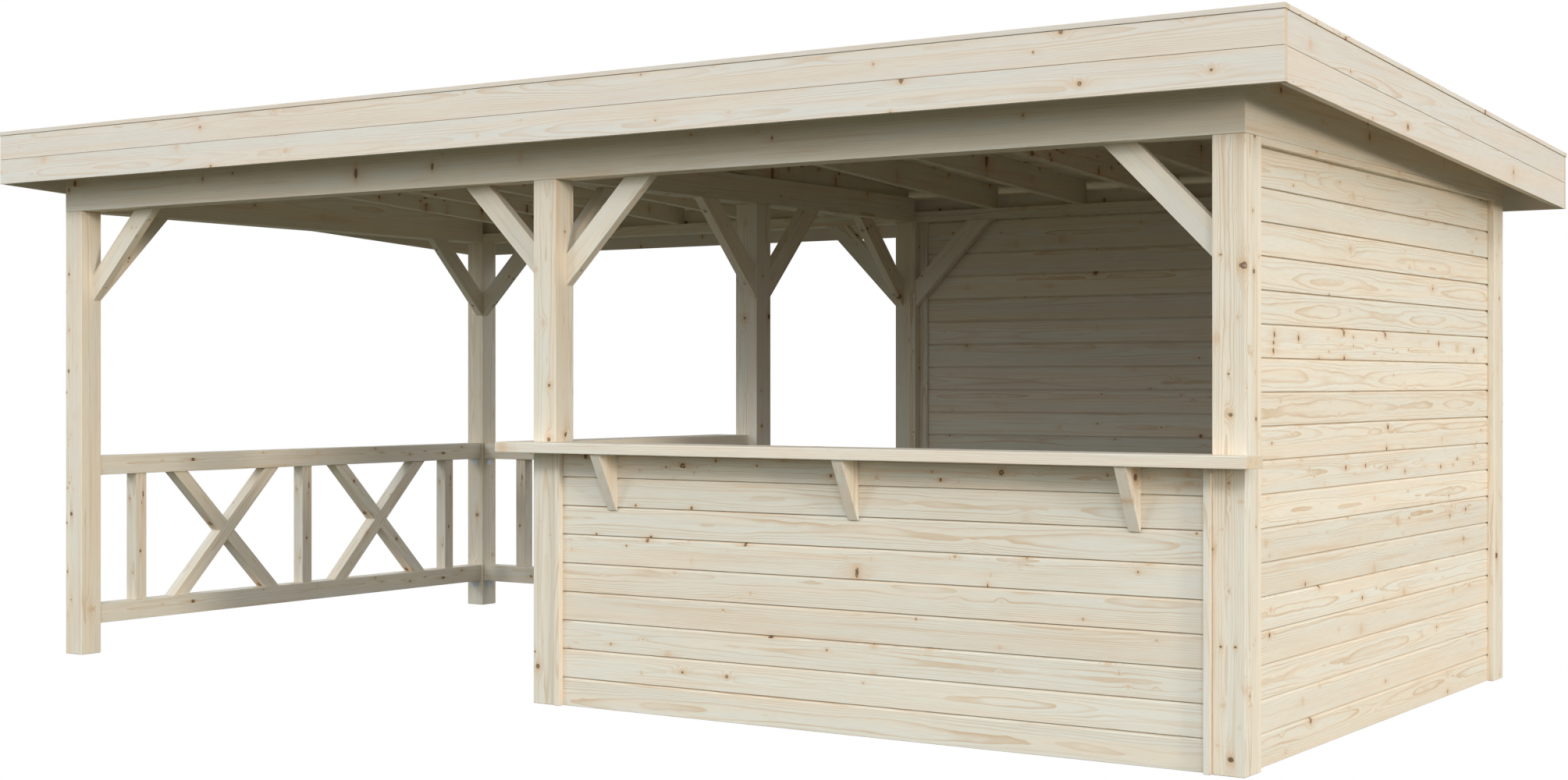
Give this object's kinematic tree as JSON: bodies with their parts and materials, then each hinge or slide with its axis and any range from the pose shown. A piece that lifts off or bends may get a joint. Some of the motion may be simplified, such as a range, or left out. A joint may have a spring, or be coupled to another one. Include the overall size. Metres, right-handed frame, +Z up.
{
  "type": "timber garden pavilion with a serving bar, full size",
  "caption": "Open timber pavilion with a flat falling roof on square posts and knee braces, a railed lounge half and a boarded serving bar half with a wooden counter.",
  "frame": {"origin": "on the ground under the middle of the roof outline", "axes": "+X along the length to the bar end, +Y from front to back, +Z up"},
  "size_m": [6.568, 3.568, 2.5797],
  "materials": {
    "frame_timber": "planed, untreated softwood, matt",
    "roof_timber": "planed, untreated softwood, matt",
    "fascia_timber": "planed, untreated softwood, matt",
    "brace_timber": "planed, untreated softwood, matt",
    "railing_timber": "planed, untreated softwood, matt",
    "wall_timber": "planed, untreated softwood, matt",
    "counter_timber": "planed, untreated softwood, matt",
    "galvanised_steel": "dull galvanised"
  },
  "bodies": {
    "root": {"post_front_left": "frame_timber", "post_front_middle": "frame_timber", "post_front_right": "frame_timber", "post_centre": "frame_timber", "post_back_left": "frame_timber", "post_back_middle": "frame_timber", "post_back_right": "frame_timber", "header_front": "frame_timber", "header_back": "frame_timber", "header_left": "frame_timber", "header_right": "frame_timber", "beam_middle": "frame_timber", "rafters_left": "roof_timber", "rafter_middle": "roof_timber", "rafters_right": "roof_timber", "roof_boards": "roof_timber", "fascia_front": "fascia_timber", "fascia_back": "fascia_timber", "fascia_left": "fascia_timber", "fascia_right": "fascia_timber", "caps_long": "fascia_timber", "caps_short": "fascia_timber", "braces_front_left": "brace_timber", "braces_front_middle": "brace_timber", "braces_front_right": "brace_timber", "braces_centre": "brace_timber", "braces_back_left": "brace_timber", "braces_back_middle": "brace_timber", "braces_back_right": "brace_timber", "railing_left": "railing_timber", "railing_back": "railing_timber", "wall_right": "wall_timber", "wall_back": "wall_timber", "wall_bar_front": "wall_timber", "wall_bar_side": "wall_timber", "battens_right": "wall_timber", "battens_back": "wall_timber", "battens_bar_front": "wall_timber", "battens_bar_side": "wall_timber", "counter_front": "counter_timber", "counter_side": "counter_timber", "counter_brackets": "counter_timber", "rail_angle_brackets": "galvanised_steel"}
  },
  "joints": []
}
